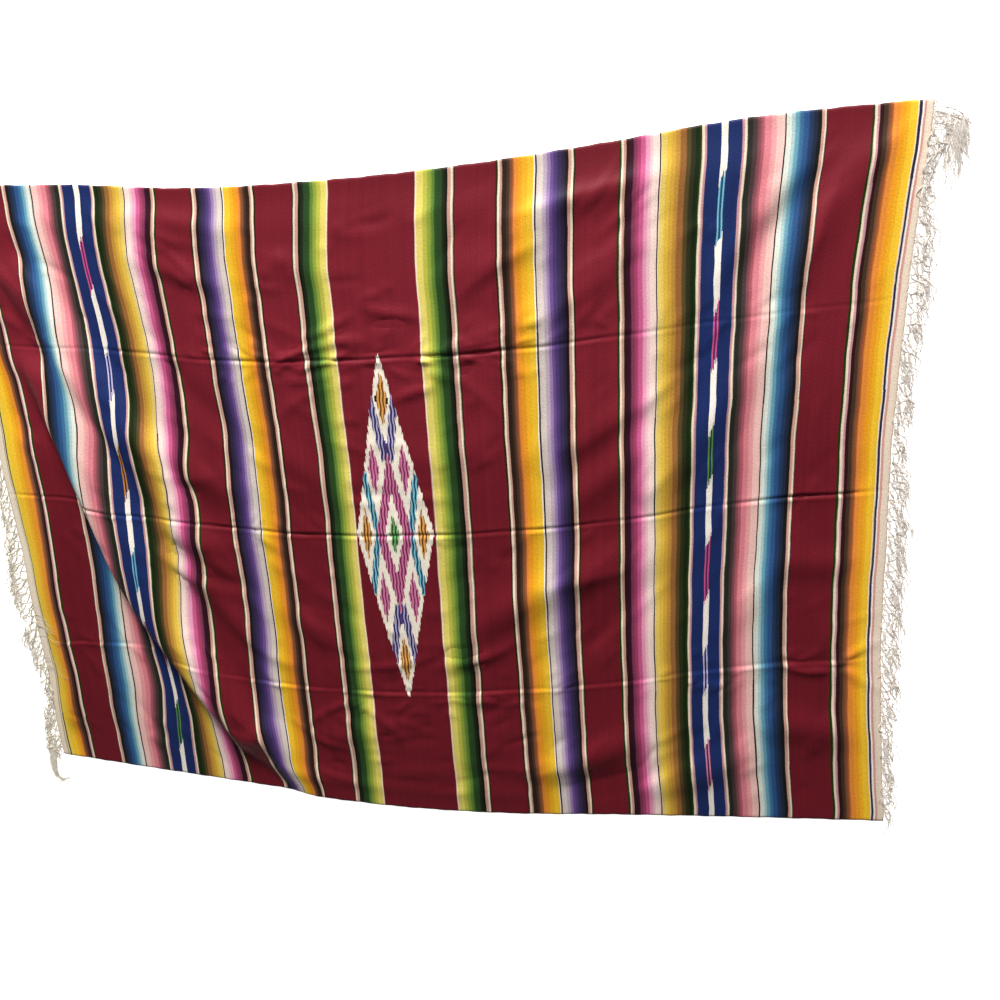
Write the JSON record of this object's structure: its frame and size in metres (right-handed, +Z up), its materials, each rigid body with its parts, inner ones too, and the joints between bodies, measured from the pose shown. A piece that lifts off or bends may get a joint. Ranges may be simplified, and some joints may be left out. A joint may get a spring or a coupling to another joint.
{
  "type": "serape",
  "caption": "Striped woven serape blanket laid flat with one soft diagonal fold, a diamond at its centre and a knotted warp fringe at both ends",
  "frame": {"origin": "on the surface that the cloth lies on, under the middle of the whole piece's box, fringe included", "axes": "+X along the warp, the long way, towards the end with the fuller fringe; +Y across the cloth; +Z up from the surface"},
  "size_m": [2.2147, 1.5405, 0.0459],
  "materials": {
    "woven_cloth": "weft-faced wool weave, maroon ground with shaded stripes in yellow, green, purple, pink, blue and orange, soft low sheen",
    "fringe": "natural undyed cotton warp, knotted net and loose frayed ends"
  },
  "bodies": {
    "root": {"cloth": "woven_cloth", "fringe_left": "fringe", "fringe_right": "fringe"}
  },
  "joints": []
}
